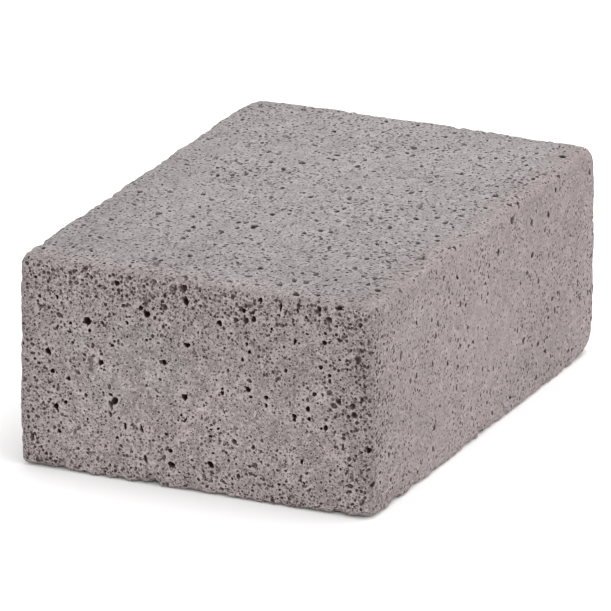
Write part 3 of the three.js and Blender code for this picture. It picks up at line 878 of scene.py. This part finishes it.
# broken foam between them: pale webs round darker middles, the darker middles a painted shade where the bubbles dip,
# and a sandy grain; the pale lips round the pits are the stone's pale cell walls with a painted highlight on them
foam = ramp(away_2, 0.12, 0.62, -0.2, 0.17)
foam = maths("ADD", foam, maths("MULTIPLY_ADD", grain, 3.6, -1.8))
foam = maths("ADD", foam, maths("MULTIPLY", lip, 0.76))
foam = maths("MULTIPLY", foam, speckle_f)

warm_grey = (0.278, 0.2412, 0.2374, 1.0)
# cool grey: the painted light tint on the broad faces, and the stone's own faint cool patches on the sides
cool_grey = (0.2748, 0.2548, 0.2548, 1.0)
green_grey = (0.2725, 0.2495, 0.2405, 1.0)
cool_mix = maths("ADD", cool_tone_and_light_tint_f, maths("MULTIPLY_ADD", slow, 0.3, -0.15), clamp=True)
body_col = mixed(cool_mix, warm_grey, cool_grey)
body_col = mixed(field("green"), body_col, green_grey)
tone = maths("MULTIPLY_ADD", slow, 0.2, 0.832)
tone = maths("ADD", tone, maths("MULTIPLY_ADD", patchy, 0.36, -0.18))
tone = maths("MULTIPLY", tone, maths("MAXIMUM", maths("ADD", foam, 1.0), 0.25))
# the washes bring their painted light into the tone here
tone = maths("MULTIPLY", tone, field("tone_and_painted_light"))
body_col = scaled(body_col, tone)
# the painted shade in the fine pits, a dark brown
body_col = mixed(painted_dark, body_col, (0.0285, 0.0122, 0.0112, 1.0))
# the painted shade deep in the modelled pores, a near black brown
painted_pore_shade_col = (0.0168, 0.0058, 0.005, 1.0)
colour = mixed(pore_shade_mix, body_col, painted_pore_shade_col)

height = maths("MULTIPLY", bowl_0, -0.2)
height = maths("ADD", height, maths("MULTIPLY", bowl_1, -0.36))
height = maths("ADD", height, maths("MULTIPLY", bowl_2, -0.2))
height = maths("ADD", height, maths("MULTIPLY", grain, 0.3))
bump = node("ShaderNodeBump")
bump.inputs["Strength"].default_value = 0.9
bump.inputs["Distance"].default_value = 0.001
put(bump.inputs["Height"], height)

shader = node("ShaderNodeBsdfPrincipled")
put(shader.inputs["Base Color"], colour)
put(shader.inputs["Roughness"], ramp(grain, 0.3, 0.7, 0.9, 1.0))
shader.inputs["Specular IOR Level"].default_value = 0.01
put(shader.inputs["Normal"], bump.outputs[0])
target = node("ShaderNodeOutputMaterial")
nt.links.new(shader.outputs[0], target.inputs["Surface"])
mesh.materials.append(mat)

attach(stone, "root")
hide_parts(NODE)

# --------------------------------------------------------------------------- stage
floor_mesh = bpy.data.meshes.new("floor")
floor_mesh.from_pydata([(-6, -6, -2e-5), (6, -6, -2e-5), (6, 6, -2e-5), (-6, 6, -2e-5)], [], [(0, 1, 2, 3)])
floor = bpy.data.objects.new("floor", floor_mesh)
bpy.context.scene.collection.objects.link(floor)
floor_mat = bpy.data.materials.new("floor_white")
floor_mat.use_nodes = True
floor_bsdf = floor_mat.node_tree.nodes["Principled BSDF"]
floor_bsdf.inputs["Base Color"].default_value = (0.93, 0.93, 0.93, 1.0)
floor_bsdf.inputs["Roughness"].default_value = 1.0
floor_bsdf.inputs["Specular IOR Level"].default_value = 0.0
floor_mesh.materials.append(floor_mat)

world = bpy.data.worlds.new("studio")
bpy.context.scene.world = world
world.use_nodes = True
sky = world.node_tree.nodes["Background"]
sky.inputs["Color"].default_value = (1.0, 1.0, 1.0, 1.0)
sky.inputs["Strength"].default_value = 1.1


def softbox(name, at_m, aim_m, size, power, tint=(1.0, 1.0, 1.0)):
    data = bpy.data.lights.new(name, "AREA")
    data.shape = "RECTANGLE"
    data.size, data.size_y = size
    data.energy = power
    data.color = tint
    ob = bpy.data.objects.new(name, data)
    ob.location = at_m
    ob.rotation_mode = "QUATERNION"
    ob.rotation_quaternion = (Vector(aim_m) - Vector(at_m)).to_track_quat("-Z", "Y")
    bpy.context.scene.collection.objects.link(ob)


softbox("overhead", (0.35, 0.15, 1.3), (0.0, 0.0, 0.02), (1.0, 1.0), 8.0)
softbox("right_fill", (1.1, -0.35, 0.55), (0.0, 0.0, 0.02), (0.9, 0.7), 1.9)

# the photograph's angle, with a long lens
az, el = math.radians(24.7988), math.radians(19.6169)
ahead = -np.array([math.sin(az) * math.cos(el), -math.cos(az) * math.cos(el), math.sin(el)])
right = np.array([math.cos(az), math.sin(az), 0.0])
down_v = np.cross(ahead, right)
eye = MIDDLE - (1.1314 * right - 0.3883 * down_v + 1850.785 * ahead)
cam_data = bpy.data.cameras.new("camera")
cam_data.sensor_width = 36.0
cam_data.lens = 10094.02 / 611.0 * 36.0
cam_data.clip_start, cam_data.clip_end = 0.1, 50.0
cam = bpy.data.objects.new("camera", cam_data)
up_v = -down_v
cam.matrix_world = Matrix((
    (right[0], up_v[0], -ahead[0], eye[0] / 1000.0),
    (right[1], up_v[1], -ahead[1], eye[1] / 1000.0),
    (right[2], up_v[2], -ahead[2], eye[2] / 1000.0),
    (0, 0, 0, 1),
))
bpy.context.scene.collection.objects.link(cam)
bpy.context.scene.camera = cam
bpy.context.scene.view_settings.view_transform = "Standard"
bpy.context.scene.view_settings.look = "None"

print("pores", len(pores), "points", len(at), "triangles", len(triangles))
